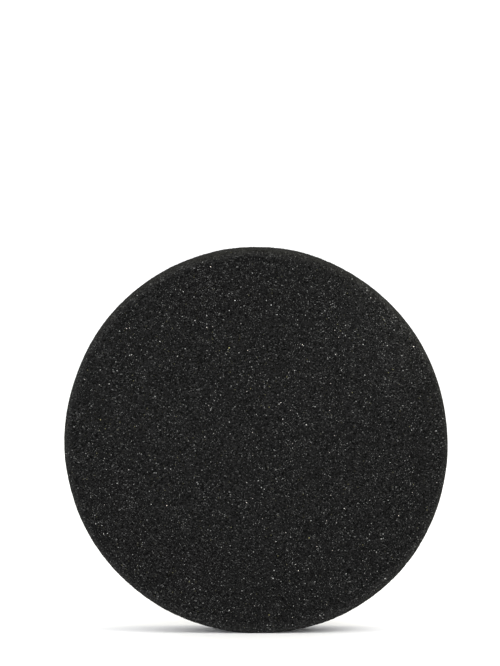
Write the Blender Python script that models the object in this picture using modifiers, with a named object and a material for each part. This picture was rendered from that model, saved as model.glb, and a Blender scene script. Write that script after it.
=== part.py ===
"""Round foam polishing pad with a hook-and-loop back, standing on its rim.

+Z is up. The working face looks along -Y and the loop face along +Y. The origin is the centre of
the loop face, which presses onto the hooks of a polisher's backing plate. The pad is a stack of
bonded discs on one axis, Y, so each piece is turned about Z first and then laid over onto Y.
"""

import math

import bpy

# Driving dimensions, in metres
PAD_DIAMETER = 0.150
FOAM_THICKNESS = 0.025
FACE_EDGE_RADIUS = 0.003  # soft edge between the working face and the side wall
BACK_BEVEL = 0.004  # keeps the backing away from the paint when the pad tips
PILE_HEIGHT = 0.0013
KNIT_THICKNESS = 0.0006
GLUE_THICKNESS = 0.0003
BACKING_INSET = 0.0008  # the loop fabric's cut edge stands in from the foam's back face
GLUE_INSET = 0.0012  # the film stops a little short of the fabric's edge
FOOT_WIDTH = 0.014  # the flat that the soft rim takes where the pad stands on it
GAP = 0.0003  # between bonded layers

SEGMENTS = 128
EDGE_STEPS = 5
MERGE_DISTANCE = 0.00001

# Worked out from them: distances along the pad's axis, with the loop face at 0
PAD_RADIUS = PAD_DIAMETER / 2
BACK_FACE_RADIUS = PAD_RADIUS - BACK_BEVEL
BACKING_RADIUS = BACK_FACE_RADIUS - BACKING_INSET
GLUE_RADIUS = BACK_FACE_RADIUS - GLUE_INSET
PILE_BACK = -PILE_HEIGHT
KNIT_FRONT = PILE_BACK - GAP
KNIT_BACK = KNIT_FRONT - KNIT_THICKNESS
GLUE_FRONT = KNIT_BACK - GAP
GLUE_BACK = GLUE_FRONT - GLUE_THICKNESS
FOAM_BACK = GLUE_BACK - GAP
WORKING_FACE = FOAM_BACK - FOAM_THICKNESS
FOOT_HEIGHT = -math.sqrt(PAD_RADIUS**2 - (FOOT_WIDTH / 2) ** 2)


def clear_scene():
    """Removes whatever the start-up file holds."""
    for thing in list(bpy.data.objects):
        bpy.data.objects.remove(thing)


def new_collection(name):
    collection = bpy.data.collections.new(name)
    bpy.context.scene.collection.children.link(collection)
    return collection


def plain_material(name, colour, roughness):
    """A non-metallic surface of one colour."""
    material = bpy.data.materials.new(name)
    material.use_nodes = True
    shader = material.node_tree.nodes["Principled BSDF"]
    shader.inputs["Base Color"].default_value = (*colour, 1)
    shader.inputs["Roughness"].default_value = roughness
    shader.inputs["Metallic"].default_value = 0
    return material


def foam_material():
    return plain_material("black_foam", (0.018, 0.018, 0.018), 0.9)


def glue_material():
    return plain_material("clear_hot_melt", (0.12, 0.11, 0.09), 0.45)


def knit_material():
    return plain_material("black_knit", (0.02, 0.02, 0.022), 0.85)


def pile_material():
    return plain_material("black_loop_pile", (0.03, 0.03, 0.033), 0.8)


def arc(centre, radius, start, end, steps):
    """Points on a circular arc from angle start to angle end, in degrees, ends included."""
    points = []
    for step in range(steps + 1):
        angle = math.radians(start + (end - start) * step / steps)
        points.append((centre[0] + radius * math.cos(angle), centre[1] + radius * math.sin(angle)))
    return points


def disc_profile(radius, top, bottom):
    """Outline of a plain disc, from the axis, down its outer side and back to the axis."""
    return [(0, top), (radius, top), (radius, bottom), (0, bottom)]


def foam_profile():
    """The foam's outline: bevelled back edge, straight wall and a rounded edge at the working face."""
    corner = (PAD_RADIUS - FACE_EDGE_RADIUS, WORKING_FACE + FACE_EDGE_RADIUS)
    outline = [(0, FOAM_BACK), (BACK_FACE_RADIUS, FOAM_BACK), (PAD_RADIUS, FOAM_BACK - BACK_BEVEL)]
    outline += arc(corner, FACE_EDGE_RADIUS, 0, -90, EDGE_STEPS)
    outline.append((0, WORKING_FACE))
    return outline


def turned(name, profile, material, collection):
    """A solid of revolution about Z from (radius, height) points, laid over so that Z becomes Y."""
    mesh = bpy.data.meshes.new(name)
    corners = [(radius, 0, height) for radius, height in profile]
    edges = [(i, i + 1) for i in range(len(corners) - 1)]
    mesh.from_pydata(corners, edges, [])
    piece = bpy.data.objects.new(name, mesh)
    collection.objects.link(piece)
    screw = piece.modifiers.new("turn", "SCREW")
    screw.axis = "Z"
    screw.angle = math.tau
    screw.steps = SEGMENTS
    screw.render_steps = SEGMENTS
    screw.use_merge_vertices = True
    screw.merge_threshold = MERGE_DISTANCE
    screw.use_smooth_shade = True
    piece.rotation_euler = (-math.pi / 2, 0, 0)
    piece.data.materials.append(material)
    return piece


def foot_cutter(collection):
    """A block whose top is the flat on which the rim stands."""
    bpy.ops.mesh.primitive_cube_add(size=PAD_DIAMETER)
    block = bpy.context.object
    block.name = "foot_cutter"
    for owner in list(block.users_collection):
        owner.objects.unlink(block)
    collection.objects.link(block)
    block.location = (0, WORKING_FACE / 2, FOOT_HEIGHT - PAD_DIAMETER / 2)
    block.hide_render = True
    block.display_type = "WIRE"
    return block


def make_foam(pad, cutters):
    """The open-cell foam body, with its working face, wall and foot."""
    foam = turned("foam_disc", foam_profile(), foam_material(), pad)
    cut = foam.modifiers.new("foot", "BOOLEAN")
    cut.operation = "DIFFERENCE"
    cut.solver = "EXACT"
    cut.object = foot_cutter(cutters)
    return foam


def make_glue(pad):
    """The hot-melt film that bonds the loop fabric to the foam."""
    outline = disc_profile(GLUE_RADIUS, GLUE_FRONT, GLUE_BACK)
    return turned("adhesive_film", outline, glue_material(), pad)


def make_knit(pad):
    """The knitted ground of the loop fabric."""
    outline = disc_profile(BACKING_RADIUS, KNIT_FRONT, KNIT_BACK)
    return turned("backing_knit", outline, knit_material(), pad)


def make_pile(pad):
    """The envelope of the brushed loops that stand on the knit."""
    outline = disc_profile(BACKING_RADIUS, 0, PILE_BACK)
    return turned("loop_pile", outline, pile_material(), pad)


def main():
    clear_scene()
    pad = new_collection("polishing_pad")
    cutters = new_collection("cutters")
    make_foam(pad, cutters)
    make_glue(pad)
    make_knit(pad)
    make_pile(pad)


main()
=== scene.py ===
import math

import bpy
import numpy as np
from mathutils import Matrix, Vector, noise


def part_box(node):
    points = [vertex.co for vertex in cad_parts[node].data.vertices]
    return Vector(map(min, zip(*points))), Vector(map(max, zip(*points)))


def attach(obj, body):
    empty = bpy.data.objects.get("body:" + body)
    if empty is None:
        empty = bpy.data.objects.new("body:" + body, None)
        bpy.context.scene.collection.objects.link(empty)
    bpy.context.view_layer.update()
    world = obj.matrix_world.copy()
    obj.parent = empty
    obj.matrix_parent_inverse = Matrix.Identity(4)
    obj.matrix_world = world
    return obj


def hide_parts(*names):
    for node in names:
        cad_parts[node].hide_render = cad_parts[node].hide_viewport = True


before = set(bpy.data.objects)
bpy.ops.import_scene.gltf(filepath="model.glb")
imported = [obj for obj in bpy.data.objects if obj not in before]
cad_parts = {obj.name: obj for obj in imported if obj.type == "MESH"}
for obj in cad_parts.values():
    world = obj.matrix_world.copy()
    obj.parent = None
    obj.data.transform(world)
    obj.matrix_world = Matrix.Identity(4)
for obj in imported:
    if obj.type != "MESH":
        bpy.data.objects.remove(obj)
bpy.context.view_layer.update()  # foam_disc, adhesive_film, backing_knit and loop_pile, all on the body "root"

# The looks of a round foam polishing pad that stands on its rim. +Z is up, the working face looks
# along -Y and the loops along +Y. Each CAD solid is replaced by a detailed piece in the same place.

MM = 0.001
SEED = 7

# Places and sizes from the frame, in metres
foam_low, foam_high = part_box("foam_disc")
knit_low, knit_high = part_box("backing_knit")
PAD_RADIUS = foam_high.x
WORKING_FACE = foam_low.y
FOAM_BACK = foam_high.y
FOOT_HEIGHT = foam_low.z
BACKING_RADIUS = knit_high.x
GLUE_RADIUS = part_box("adhesive_film")[1].x
LOOP_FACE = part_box("loop_pile")[1].y

# Foam shape
EDGE_RADIUS = 3.0 * MM
EDGE_STEPS = 8  # rings of points round the rounded edge
BACK_BEVEL = 4.0 * MM
FACE_CELLS = 228  # quads along each side of the square grid that covers the working face
RING_PITCH = 0.56 * MM
OVAL = 0.40 * MM  # how far the outline is out of round, and which way its long axis turns
OVAL_TURN = math.radians(-57)
LOBE = 0.20 * MM  # a weaker three-cornered error of the same cut
LOBE_TURN = math.radians(-42)
DROOP = 1.1 * MM  # the upper right of the face leans back by this much at the rim
DROOP_TURN = math.radians(38)

# Foam relief, as how high and how far across
WAVES = (0.15 * MM, 17 * MM)
RIPPLE = (0.05 * MM, 2.6 * MM)
BOW = (0.22 * MM, 26 * MM)  # in and out round the rim
PORE = (0.35 * MM, 0.65 * MM)
PORES = 90
DEEPEST_DIMPLE = 0.14 * MM

# Foam colours, and the size of its cells in millimetres
CELL_SIZE = 0.38
ARC_CELL_SIZE = 0.75
# The cells' floors are darker than the struts: painted shade in the hollows of the cells
FACE_TONE = (0.0046, 0.0046, 0.0046, 1)
# Painted light: a paler band at the rounded edge, for sheen and for light bounced up from the floor
PAINTED_RIM_LIGHT_TONE = (0.0165, 0.0165, 0.0162, 1)
# The side's tone: paler than the face partly as painted sheen, with a faint olive cast that is painted warm
# light from above
SIDE_AND_PAINTED_SHEEN_TONE = (0.0100, 0.0101, 0.0089, 1)
STRUT_TONE = (0.0168, 0.0168, 0.0168, 1)
# Painted glints: bright specks in the base colour that stand in for light caught by the struts
PAINTED_GLINT_WHITE = (1.0, 1.0, 0.97, 1)
PAINTED_GLINT_YELLOW = (1.0, 0.95, 0.42, 1)
PAINTED_GLINT_LEVEL = 0.0240
# Painted highlights: bright arcs on the cell edges that face one light direction
PAINTED_ARC_LEVEL = 0.010
PAINTED_ARC_LIGHT_DIRECTION = (0.5, -0.2, 0.85)  # the direction of the light that the painted arcs face: each arc is painted on the side of a cell towards it
PAINTED_LIGHT_SPOT = (54, 46)  # X and Z, in millimetres, of the middle of a paler patch painted on the face, a painted pool of light

# Glue and backing
GLUE_OVERLAP = 0.1 * MM  # how far the glue reaches into the foam and into the knit
GLUE_WAVE = 0.35 * MM  # how uneven its edge is
KNIT_WAVE = 0.12 * MM
DISC_SIDES = 720
# A thin disc's edge from front to back: share of the radius, and place through the thickness
DISC_EDGE = [(0.985, -1.0), (0.9985, -0.8), (1.0, -0.2), (1.0, 0.2), (0.9985, 0.8), (0.985, 1.0)]

# Loop pile. Widths, heights, lengths and thicknesses are least and most, in millimetres.
ROW_PITCH = 1.6 * MM
LOOP_PITCH = 1.3 * MM
ROOT_SCATTER = 0.12 * MM
ROOT_DEPTH = 0.1 * MM  # how far below the knit's surface a yarn's centre line starts
LOOP_WIDTH = (0.9, 1.5)
LOOP_HEIGHT = (0.8, 1.45)
LOOP_LEAN = (0.3, 1.0)
YARN_THICKNESS = (0.24, 0.36)
NAP_PATCH = 15 * MM
STRAYS = 2600
STRAYS_AT_EDGE = 0.35  # share of them
STRAY_LENGTH = (0.8, 2.0)
STRAY_HEIGHT = (0.9, 1.8)
STRAY_THICKNESS = (0.07, 0.11)
TUBE_SIDES = 3

# Camera
VIEW_ELEVATION = 5.5  # degrees above the pad's axis
CAMERA_DISTANCE = 2.5
LENS = 344.9
AIM_ABOVE = 41.85 * MM  # the pad sits this far below the middle of the picture
AIM_LEFT = 2.56 * MM

# Stage
FLOOR_SIZE = 8
WORLD_STRENGTH = 1.35
# Soft round lights: name, place, target, size in metres, power in watts and colour
LIGHTS = [
    ("key", (0.32, -0.22, 0.30), (0.02, 0, 0.02), 0.25, 0.9, (1.0, 0.98, 0.93)),
    ("fill", (-0.45, -0.7, 0.02), (0, 0, -0.03), 0.5, 1.5, (0.92, 0.96, 1.0)),
    ("bounce", (-0.22, -0.32, -0.03), (0, -0.02, -0.07), 0.08, 0.30, (0.90, 0.94, 1.0)),
    ("top", (0.0, 0.1, 0.9), (0, 0, 0), 0.6, 1.5, (1.0, 0.96, 0.62)),
]


# ---------------------------------------------------------------- helpers


def new_piece(name, points, faces, material):
    """A smooth-shaded mesh object from points and faces, with one material."""
    mesh = bpy.data.meshes.new(name)
    mesh.from_pydata([tuple(p) for p in points], [], faces)
    mesh.validate()
    mesh.update()
    mesh.polygons.foreach_set("use_smooth", [True] * len(mesh.polygons))
    mesh.materials.append(material)
    piece = bpy.data.objects.new(name, mesh)
    bpy.context.scene.collection.objects.link(piece)
    return piece


def noise_at(points, size, seed):
    """Smooth noise from about -1 to 1 at each point, with features about size across."""
    shift = Vector((seed * 17.3, seed * 5.1, seed * 9.7))
    return np.array([noise.noise(Vector(p) / size + shift) for p in points])


class Net:
    """A short way to write a material's nodes. Sizes are in millimetres."""

    def __init__(self, name):
        self.material = bpy.data.materials.new(name)
        self.material.use_nodes = True
        self.tree = self.material.node_tree
        self.shader = self.tree.nodes["Principled BSDF"]

    def add(self, kind, settings=None, **inputs):
        made = self.tree.nodes.new("ShaderNode" + kind)
        for key, value in (settings or {}).items():
            setattr(made, key, value)
        for key, value in inputs.items():
            self.feed(made, key, value)
        return made

    def feed(self, made, key, value):
        """Sets or links an input, by its name with _ for a space, or by its number as i0, i1."""
        if key[0] == "i" and key[1:].isdigit():
            socket = made.inputs[int(key[1:])]
        else:
            socket = made.inputs[key.replace("_", " ")]
        if isinstance(value, bpy.types.NodeSocket):
            self.tree.links.new(value, socket)
        else:
            socket.default_value = value

    def math(self, operation, a, b):
        return self.add("Math", {"operation": operation}, i0=a, i1=b).outputs[0]

    def times(self, a, b):
        return self.math("MULTIPLY", a, b)

    def vector(self, operation, a, b):
        return self.add("VectorMath", {"operation": operation}, i0=a, i1=b).outputs

    def ramp(self, value, low, high, start=0.0, end=1.0):
        """start below low, end above high and a straight line between them."""
        made = self.add("MapRange", None, Value=value, From_Min=low, From_Max=high, To_Min=start, To_Max=end)
        return made.outputs["Result"]

    def mix(self, share, a, b):
        return self.add("Mix", {"data_type": "RGBA"}, i0=share, i6=a, i7=b).outputs[2]

    def scaled(self, colour, amount):
        """A colour or a vector times a number."""
        return self.add("VectorMath", {"operation": "SCALE"}, i0=colour, Scale=amount).outputs[0]

    def millimetres(self):
        """The piece's own coordinates, in millimetres."""
        return self.scaled(self.add("TexCoord").outputs["Object"], 1000.0)

    def cloud(self, place, size, detail):
        """Soft noise round 0.5."""
        return self.add("TexNoise", None, Vector=place, Scale=1 / size, Detail=detail).outputs["Fac"]

    def wobbled(self, place, size, amount, seed):
        """Coordinates pushed about by noise, so that regular cells become uneven."""
        settings = {"noise_dimensions": "4D"}
        cloud = self.add("TexNoise", settings, Vector=place, W=seed, Scale=1 / size, Detail=1.0)
        centred = self.vector("SUBTRACT", cloud.outputs["Color"], (0.5, 0.5, 0.5))[0]
        return self.vector("ADD", place, self.scaled(centred, amount))[0]

    def cells(self, place, size, feature="F1"):
        """Irregular cells of about this size."""
        return self.add("TexVoronoi", {"feature": feature}, Vector=place, Scale=1 / size).outputs

    def picks(self, cells):
        """Three random numbers from 0 to 1 for each cell."""
        return self.add("SeparateColor", None, Color=cells["Color"]).outputs

    def rare(self, pick, ceiling, power):
        """From a random number: near 0 for most cells and high for a few."""
        return self.math("SUBTRACT", self.math("POWER", self.math("SUBTRACT", ceiling, pick), power), 1.0)

    def bump(self, height, strength, distance):
        made = self.add("Bump", None, Strength=strength, Distance=distance, Height=height)
        return made.outputs[0]

    def finish(self, **inputs):
        for key, value in inputs.items():
            self.feed(self.shader, key, value)
        return self.material


# ---------------------------------------------------------------- materials


def foam_regions(net, place):
    """How much of the painted paler rim and of the side a spot is, from 0 to 1, and how strong the painted
    pool of light up and to the right is there.
    """
    parts = net.add("SeparateXYZ", None, Vector=place).outputs
    flat_place = net.add("CombineXYZ", None, X=parts["X"], Z=parts["Z"]).outputs[0]
    radius = net.add("VectorMath", {"operation": "LENGTH"}, i0=flat_place).outputs["Value"]
    pad_radius, edge, face_y = PAD_RADIUS / MM, EDGE_RADIUS / MM, WORKING_FACE / MM
    # A paler band is painted beside the edge, standing in for sheen and for light bounced up from the floor;
    # it is wider along the lower rim.
    painted_band_start = net.ramp(parts["Z"], -68.0, -40.0, pad_radius - 1.6 * edge, pad_radius - 0.9 * edge)
    painted_rim_light = net.ramp(radius, painted_band_start, pad_radius - 0.1 * edge)
    behind = net.ramp(parts["Y"], face_y + 0.15 * edge, face_y + 0.8 * edge)
    # A paler patch is painted on the face up and to the right, a painted pool of light that brightens its
    # cells and painted glints.
    away = net.vector("DISTANCE", flat_place, (PAINTED_LIGHT_SPOT[0], 0, PAINTED_LIGHT_SPOT[1]))["Value"]
    painted_light_patch = net.ramp(away, 8.0, 40.0, 1.30, 1.0)
    return painted_rim_light, behind, painted_light_patch


def painted_glint_dots(net, place):
    """Painted glints: small bright specks in the base colour that stand in for light caught by strut ends,
    most of them faint and a few strong: their strength and their tint.
    """
    dots = net.cells(net.wobbled(place, 0.5, 0.35, 4.0), CELL_SIZE)
    pick = net.picks(dots)
    dot = net.ramp(dots["Distance"], 0.20, 0.46, 1.0, 0.0)
    strength = net.times(dot, net.times(net.rare(pick[0], 1.0006, -0.55), PAINTED_GLINT_LEVEL))
    yellow = net.ramp(pick[1], 0.975, 0.98)
    return strength, net.mix(yellow, PAINTED_GLINT_WHITE, PAINTED_GLINT_YELLOW)


def painted_lit_arcs(net, place):
    """Painted highlights: the upper edges of some larger cells, painted as if lit from one direction: their
    strength.
    """
    bent = net.wobbled(place, 0.8, 0.5, 9.0)
    cells = net.cells(bent, ARC_CELL_SIZE)
    walls = net.cells(bent, ARC_CELL_SIZE, "DISTANCE_TO_EDGE")
    from_middle = net.vector("SUBTRACT", bent, cells["Position"])[0]
    towards_light = net.vector("DOT_PRODUCT", from_middle, PAINTED_ARC_LIGHT_DIRECTION)["Value"]
    arc = net.times(net.ramp(walls["Distance"], 0.02, 0.13, 1.0, 0.0), net.ramp(towards_light, 0.05, 0.35))
    return net.times(arc, net.times(net.rare(net.picks(cells)[0], 1.001, -0.5), PAINTED_ARC_LEVEL))


def foam_material():
    """Fine open-cell black foam: cells darkened with painted shade, paler struts and a few painted glints."""
    net = Net("foam_cells")
    place = net.millimetres()
    painted_rim_light, behind, painted_light_patch = foam_regions(net, place)
    uneven = net.wobbled(place, 0.9, 0.5, 1.0)
    pick = net.picks(net.cells(uneven, CELL_SIZE))
    walls = net.cells(uneven, CELL_SIZE, "DISTANCE_TO_EDGE")
    strut = net.ramp(walls["Distance"], 0.0, 0.16, 1.0, 0.0)

    # Each cell's floor is darkened with its own depth of painted shade, against the paler struts. The side has
    # a faint olive cast, painted warm light from above.
    shade = net.ramp(pick[0], 0.0, 1.0, 0.1, 1.75)
    shade = net.times(shade, net.ramp(net.cloud(place, 14.0, 3.0), 0.3, 0.7, 0.95, 1.05))
    # Painted pool of light: the face is paler up and to the right
    shade = net.times(shade, painted_light_patch)
    # Painted light in the tone: a paler band at the rim and a paler, faintly olive side, standing in for
    # sheen, bounced light and warm light from above.
    tone = net.mix(behind, net.mix(painted_rim_light, FACE_TONE, PAINTED_RIM_LIGHT_TONE), SIDE_AND_PAINTED_SHEEN_TONE)
    strut_share = net.times(strut, net.ramp(pick[2], 0.4, 1.0))
    strutted = net.mix(strut_share, net.scaled(tone, shade), STRUT_TONE)

    # The painted glints and painted arcs are a little fainter on the side.
    dots, tint = painted_glint_dots(net, place)
    painted_glint = net.math("ADD", dots, painted_lit_arcs(net, place))
    painted_glint = net.times(painted_glint, net.ramp(behind, 0.0, 1.0, 1.0, 0.8))
    painted_glint = net.times(painted_glint, painted_light_patch)
    colour = net.vector("ADD", strutted, net.scaled(tint, painted_glint))[0]

    bump = net.bump(net.math("ADD", strut, net.times(pick[1], 0.5)), 0.6, 0.12 * MM)
    return net.finish(Base_Color=colour, Normal=bump, Roughness=0.95, Specular_IOR_Level=0.0,
                      Sheen_Weight=0.02, Sheen_Roughness=0.5)


def glue_material():
    """Clear hot-melt, slightly yellow, with a dull shine."""
    net = Net("hot_melt")
    cloud = net.cloud(net.millimetres(), 1.5, 3.0)
    colour = net.mix(cloud, (0.035, 0.032, 0.026, 1), (0.085, 0.078, 0.062, 1))
    bump = net.bump(cloud, 0.4, 0.1 * MM)
    return net.finish(Base_Color=colour, Normal=bump, Roughness=0.38, Specular_IOR_Level=0.4)


def knit_material():
    """The black ground knit under the loops."""
    net = Net("ground_knit")
    place = net.millimetres()
    wales = net.add("TexWave", {"bands_direction": "X"}, Vector=place, Scale=0.31 / (ROW_PITCH / MM),
                    Distortion=1.2, Detail=2.0, Detail_Scale=1.5)
    light = net.times(wales.outputs["Fac"], net.cloud(place, 0.5, 2.0))
    colour = net.mix(light, (0.003, 0.003, 0.0033, 1), (0.016, 0.016, 0.017, 1))
    bump = net.bump(light, 0.7, 0.2 * MM)
    return net.finish(Base_Color=colour, Normal=bump, Roughness=0.85, Specular_IOR_Level=0.08)


def loop_material():
    """Black nylon filaments with a slight shine, no two loops quite the same."""
    net = Net("nylon_loops")
    place = net.millimetres()
    pick = net.picks(net.cells(place, 1.3))
    light = net.times(net.ramp(net.cloud(place, 11.0, 3.0), 0.35, 0.65, 0.5, 1.0),
                      net.ramp(net.cloud(place, 0.35, 2.0), 0.3, 0.7, 0.4, 1.5))
    light = net.times(light, net.ramp(pick[0], 0.0, 1.0, 0.35, 1.3))
    colour = net.mix(light, (0.006, 0.006, 0.007, 1), (0.060, 0.060, 0.064, 1))
    return net.finish(Base_Color=colour, Roughness=0.45, Specular_IOR_Level=0.35, Sheen_Weight=0.1)


def floor_material():
    """A plain pale table top."""
    net = Net("pale_floor")
    cloud = net.cloud(net.millimetres(), 60.0, 2.0)
    colour = net.mix(cloud, (0.93, 0.93, 0.935, 1), (0.95, 0.95, 0.953, 1))
    return net.finish(Base_Color=colour, Roughness=0.6, Specular_IOR_Level=0.2)


# ---------------------------------------------------------------- foam


def square_to_disc(a, b):
    """Maps a point of the square from -1 to 1 onto the unit disc, keeping area, as (radius, angle)."""
    if a == 0 and b == 0:
        return 0.0, 0.0
    if abs(a) > abs(b):
        return a, math.pi / 4 * (b / a)
    return b, math.pi / 2 - math.pi / 4 * (a / b)


def face_grid():
    """The flat of the working face: its points, its quads, and its outline's points in order."""
    side = FACE_CELLS + 1
    reach = PAD_RADIUS - EDGE_RADIUS
    points = []
    for row in range(side):
        for column in range(side):
            radius, angle = square_to_disc(2 * column / FACE_CELLS - 1, 2 * row / FACE_CELLS - 1)
            points.append((reach * radius * math.cos(angle), WORKING_FACE, reach * radius * math.sin(angle)))
    quads = []
    for row in range(FACE_CELLS):
        for column in range(FACE_CELLS):
            corner = row * side + column
            quads.append((corner, corner + 1, corner + side + 1, corner + side))
    outline = list(range(FACE_CELLS))
    outline += [i * side + FACE_CELLS for i in range(FACE_CELLS)]
    outline += [FACE_CELLS * side + FACE_CELLS - i for i in range(FACE_CELLS)]
    outline += [(FACE_CELLS - i) * side for i in range(FACE_CELLS)]
    return points, quads, outline


def wall_profile():
    """(radius, y, outward part of the normal, backward part) down the pad's side, from face to back."""
    rows = []
    for i in range(1, EDGE_STEPS + 1):
        angle = math.pi / 2 * i / EDGE_STEPS
        outward, forward = math.sin(angle), math.cos(angle)
        radius = PAD_RADIUS - EDGE_RADIUS * (1 - outward)
        rows.append((radius, WORKING_FACE + EDGE_RADIUS * (1 - forward), outward, -forward))
    start, end = WORKING_FACE + EDGE_RADIUS, FOAM_BACK - BACK_BEVEL
    count = round((end - start) / RING_PITCH)
    for i in range(1, count + 1):
        rows.append((PAD_RADIUS, start + (end - start) * i / count, 1.0, 0.0))
    count = round(BACK_BEVEL * math.sqrt(2) / RING_PITCH)
    for i in range(1, count + 1):
        part = i / count
        rows.append((PAD_RADIUS - BACK_BEVEL * part, end + BACK_BEVEL * part, 0.707, 0.707))
    return rows


def foam_points():
    """All the foam's points and normals before it gets its texture, and its faces."""
    points, quads, outline = face_grid()
    normals = [(0.0, -1.0, 0.0)] * len(points)
    angles = [math.atan2(points[i][2], points[i][0]) for i in outline]
    count = len(outline)
    previous = outline
    faces = list(quads)
    for radius, y, outward, backward in wall_profile():
        first = len(points)
        for angle in angles:
            c, s = math.cos(angle), math.sin(angle)
            points.append((radius * c, y, radius * s))
            normals.append((outward * c, backward, outward * s))
        ring = list(range(first, first + count))
        for i in range(count):
            j = (i + 1) % count
            faces.append((previous[i], ring[i], ring[j], previous[j]))
        previous = ring
    faces.append(tuple(reversed(previous)))
    return np.array(points), np.array(normals), faces


def relief(points):
    """How far each point stands out of the plain shape: waves, ripple, dimples and pores."""
    rng = np.random.default_rng(SEED)
    depth = WAVES[0] * noise_at(points, WAVES[1], 1)
    depth += RIPPLE[0] * noise_at(points, RIPPLE[1], 2)
    depth -= DEEPEST_DIMPLE * rng.random(len(points)) ** 1.5
    for pore in points[rng.choice(len(points), PORES, replace=False)]:
        away = np.linalg.norm(points - pore, axis=1)
        depth -= PORE[0] * np.exp(-((away / PORE[1]) ** 2))
    return depth


def roughened(points, normals):
    """The foam's points with its relief, its uneven outline and its drooping corner, none below the foot."""
    radius = np.hypot(points[:, 0], points[:, 2])
    turn = np.arctan2(points[:, 2], points[:, 0])
    moved = points + normals * relief(points)[:, None]
    # The outline is out of round from the start of the rounded edge outwards.
    around = np.column_stack([points[:, 0], np.zeros(len(points)), points[:, 2]])
    bow = BOW[0] * noise_at(around, BOW[1], 3)
    bow += OVAL * np.cos(2 * (turn - OVAL_TURN)) + LOBE * np.cos(3 * (turn - LOBE_TURN))
    rim = np.clip((radius - (PAD_RADIUS - EDGE_RADIUS)) / EDGE_RADIUS, 0, 1)
    outward = around / np.maximum(radius, 1e-6)[:, None]
    moved += outward * (bow * rim)[:, None]
    # The droop is strongest at the rim of the face and ends at the foam's back.
    towards_rim = np.clip((radius / PAD_RADIUS - 0.5) / 0.5, 0, 1) ** 2
    front = np.clip((FOAM_BACK - points[:, 1]) / (FOAM_BACK - WORKING_FACE), 0, 1)
    droop = DROOP * towards_rim * np.clip(np.cos(turn - DROOP_TURN), 0, 1) ** 2
    moved[:, 1] += droop * front
    moved[:, 2] = np.maximum(moved[:, 2], FOOT_HEIGHT)
    return moved


def make_foam():
    points, normals, faces = foam_points()
    return new_piece("foam_body", roughened(points, normals), faces, foam_material())


# ---------------------------------------------------------------- backing


def disc_body(name, radius, front, back, material, wave, seed):
    """A thin closed disc with a slightly uneven, rounded edge."""
    count = DISC_SIDES
    rng = np.random.default_rng(seed)
    middle = (front + back) / 2
    half = (back - front) / 2
    angles = [math.tau * i / count for i in range(count)]
    waves = [wave * noise.noise(Vector((40 * math.cos(a), 40 * math.sin(a), seed))) for a in angles]
    waves = [w + wave * 0.5 * (rng.random() - 0.5) for w in waves]
    points = []
    for share, level in DISC_EDGE:
        for angle, w in zip(angles, waves):
            r = radius * share + w
            points.append((r * math.cos(angle), middle + half * level, r * math.sin(angle)))
    faces = []
    for lower in range(0, len(points) - count, count):
        for i in range(count):
            j = (i + 1) % count
            faces.append((lower + count + i, lower + count + j, lower + j, lower + i))
    faces.append(tuple(range(count)))
    faces.append(tuple(reversed(range(len(points) - count, len(points)))))
    return new_piece(name, points, faces, material)


def knit_roots(rng):
    """Where the loops are rooted: straight rows up the fabric, every other one half a loop higher."""
    reach = BACKING_RADIUS - 0.5 * MM
    spots = []
    for row, x in enumerate(np.arange(-reach, reach, ROW_PITCH)):
        start = -reach + (row % 2) * LOOP_PITCH / 2
        spots += [(x, z) for z in np.arange(start, reach, LOOP_PITCH) if math.hypot(x, z) < reach]
    spots = np.array(spots)
    return spots + rng.normal(0, ROOT_SCATTER, spots.shape)


def loop_paths(roots, rng):
    """Centre lines of the loops: rooted on the knit, up, over and back down close by."""
    count = len(roots)
    x, z = roots[:, 0], roots[:, 1]
    across_knit = np.column_stack([x, np.zeros(count), z])
    heading = math.pi / 2 + rng.normal(0, 0.55, count)
    width = rng.uniform(*LOOP_WIDTH, count) * MM
    height = rng.uniform(*LOOP_HEIGHT, count) * MM
    # The nap lies in patches, each brushed its own way.
    lean_angle = -math.pi / 2 + 1.6 * noise_at(across_knit, NAP_PATCH, 6) + rng.normal(0, 0.35, count)
    lean = rng.uniform(*LOOP_LEAN, count) * MM
    arch = np.array([0.0, 0.80, 1.0, 0.80, 0.0])
    along = np.array([-0.38, -0.52, 0.0, 0.52, 0.38])
    across = width[:, None] * along[None, :]
    paths = np.zeros((count, len(arch), 3))
    paths[:, :, 1] = knit_high.y - ROOT_DEPTH + height[:, None] * arch[None, :]
    for axis, root, part in ((0, x, np.cos), (2, z, np.sin)):
        leaning = (lean * part(lean_angle))[:, None] * arch
        paths[:, :, axis] = root[:, None] + across * part(heading)[:, None] + leaning
    return paths


def stray_paths(rng):
    """Centre lines of single filaments that stand out of the pile, many of them at the cut edge."""
    count = STRAYS
    at_edge = rng.random(count) < STRAYS_AT_EDGE
    edge_share = rng.uniform(0.985, 1.0, count)
    inner_share = rng.random(count) ** 0.5
    radius = (BACKING_RADIUS - 0.3 * MM) * np.where(at_edge, edge_share, inner_share)
    turn = rng.uniform(0, math.tau, count)
    heading = turn + rng.normal(0, 1.3, count)
    length = rng.uniform(*STRAY_LENGTH, count) * MM
    height = rng.uniform(*STRAY_HEIGHT, count) * MM
    t = np.linspace(0, 1, 5)
    rise = np.sin(math.pi * 0.62 * t)
    paths = np.zeros((count, len(t), 3))
    paths[:, :, 0] = (radius * np.cos(turn))[:, None] + (length * np.cos(heading))[:, None] * t**1.4
    paths[:, :, 1] = knit_high.y - ROOT_DEPTH + height[:, None] * rise
    paths[:, :, 2] = (radius * np.sin(turn))[:, None] + (length * np.sin(heading))[:, None] * t**1.4
    return paths


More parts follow.
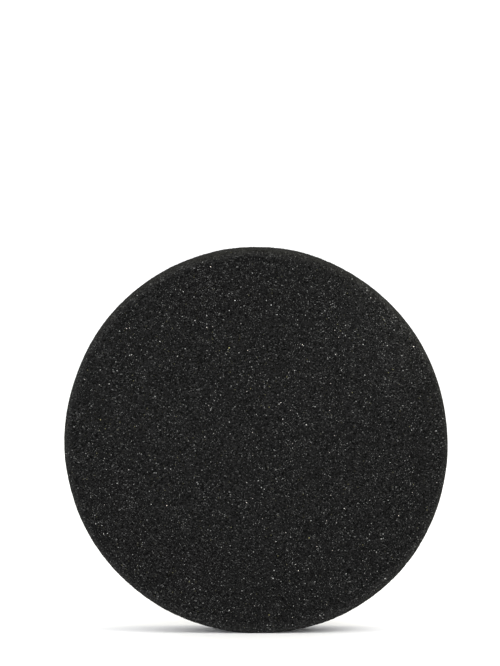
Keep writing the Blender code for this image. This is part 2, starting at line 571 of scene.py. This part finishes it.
def tubes(paths, thickness):
    """Closed tubes with few sides along many paths at once: points and faces."""
    count, steps, _ = paths.shape
    sides = TUBE_SIDES
    along = np.gradient(paths, axis=1)
    along /= np.linalg.norm(along, axis=2, keepdims=True) + 1e-12
    up = np.array([0.3, 0.9, 0.2])
    side = np.cross(along, up)
    side /= np.linalg.norm(side, axis=2, keepdims=True) + 1e-12
    other = np.cross(along, side)
    rings = []
    for k in range(sides):
        angle = math.tau * k / sides
        outward = math.cos(angle) * side + math.sin(angle) * other
        rings.append(paths + thickness[:, None, None] / 2 * outward)
    points = np.stack(rings, axis=2).reshape(-1, 3)
    faces = []
    for tube in range(count):
        base = tube * steps * sides
        for step in range(steps - 1):
            for k in range(sides):
                a = base + step * sides + k
                b = base + step * sides + (k + 1) % sides
                faces.append((a, b, b + sides, a + sides))
        faces.append(tuple(range(base + sides - 1, base - 1, -1)))
        end = base + (steps - 1) * sides
        faces.append(tuple(range(end, end + sides)))
    return points, faces


def make_loops(material):
    rng = np.random.default_rng(SEED + 1)
    paths = loop_paths(knit_roots(rng), rng)
    points, faces = tubes(paths, rng.uniform(*YARN_THICKNESS, len(paths)) * MM)
    return new_piece("pile_loops", points, faces, material)


def make_strays(material):
    rng = np.random.default_rng(SEED + 2)
    paths = stray_paths(rng)
    points, faces = tubes(paths, rng.uniform(*STRAY_THICKNESS, len(paths)) * MM)
    return new_piece("stray_filaments", points, faces, material)


# ---------------------------------------------------------------- stage


def make_floor():
    bpy.ops.mesh.primitive_plane_add(size=FLOOR_SIZE, location=(0, 0, FOOT_HEIGHT))
    floor = bpy.context.object
    floor.name = "floor"
    floor.data.materials.append(floor_material())


def make_world():
    world = bpy.data.worlds.new("soft_white")
    world.use_nodes = True
    back = world.node_tree.nodes["Background"]
    back.inputs["Color"].default_value = (1, 1, 1, 1)
    back.inputs["Strength"].default_value = WORLD_STRENGTH
    bpy.context.scene.world = world


def area_light(name, place, target, size, power, colour):
    data = bpy.data.lights.new(name, "AREA")
    data.shape = "DISK"
    data.size = size
    data.energy = power
    data.color = colour
    light = bpy.data.objects.new(name, data)
    light.location = place
    light.rotation_mode = "QUATERNION"
    light.rotation_quaternion = (Vector(target) - Vector(place)).to_track_quat("-Z", "Y")
    bpy.context.scene.collection.objects.link(light)


def make_camera():
    centre = Vector((0, (WORKING_FACE + LOOP_FACE) / 2, 0))
    elevation = math.radians(VIEW_ELEVATION)
    back = Vector((0, -math.cos(elevation), math.sin(elevation)))
    up = Vector((0, math.sin(elevation), math.cos(elevation)))
    place = centre + back * CAMERA_DISTANCE
    aim = centre + up * AIM_ABOVE - Vector((1, 0, 0)) * AIM_LEFT
    data = bpy.data.cameras.new("camera")
    data.lens = LENS
    camera = bpy.data.objects.new("camera", data)
    camera.location = place
    camera.rotation_mode = "QUATERNION"
    camera.rotation_quaternion = (aim - place).to_track_quat("-Z", "Y")
    bpy.context.scene.collection.objects.link(camera)
    bpy.context.scene.camera = camera


def make_stage():
    make_floor()
    make_world()
    for light in LIGHTS:
        area_light(*light)
    make_camera()
    bpy.context.scene.view_settings.view_transform = "Standard"


# ---------------------------------------------------------------- assembly


def main():
    foam = make_foam()
    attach(foam, "root")
    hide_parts("foam_disc")

    glue = disc_body("glue_line", GLUE_RADIUS, FOAM_BACK - GLUE_OVERLAP, knit_low.y + GLUE_OVERLAP,
                     glue_material(), GLUE_WAVE, seed=3)
    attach(glue, "root")
    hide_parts("adhesive_film")

    knit = disc_body("knit_ground", BACKING_RADIUS, knit_low.y, knit_high.y,
                     knit_material(), KNIT_WAVE, seed=5)
    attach(knit, "root")
    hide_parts("backing_knit")

    nylon = loop_material()
    loops = make_loops(nylon)
    strays = make_strays(nylon)
    for piece in (loops, strays):
        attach(piece, "root")
        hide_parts("loop_pile")
    make_stage()


main()
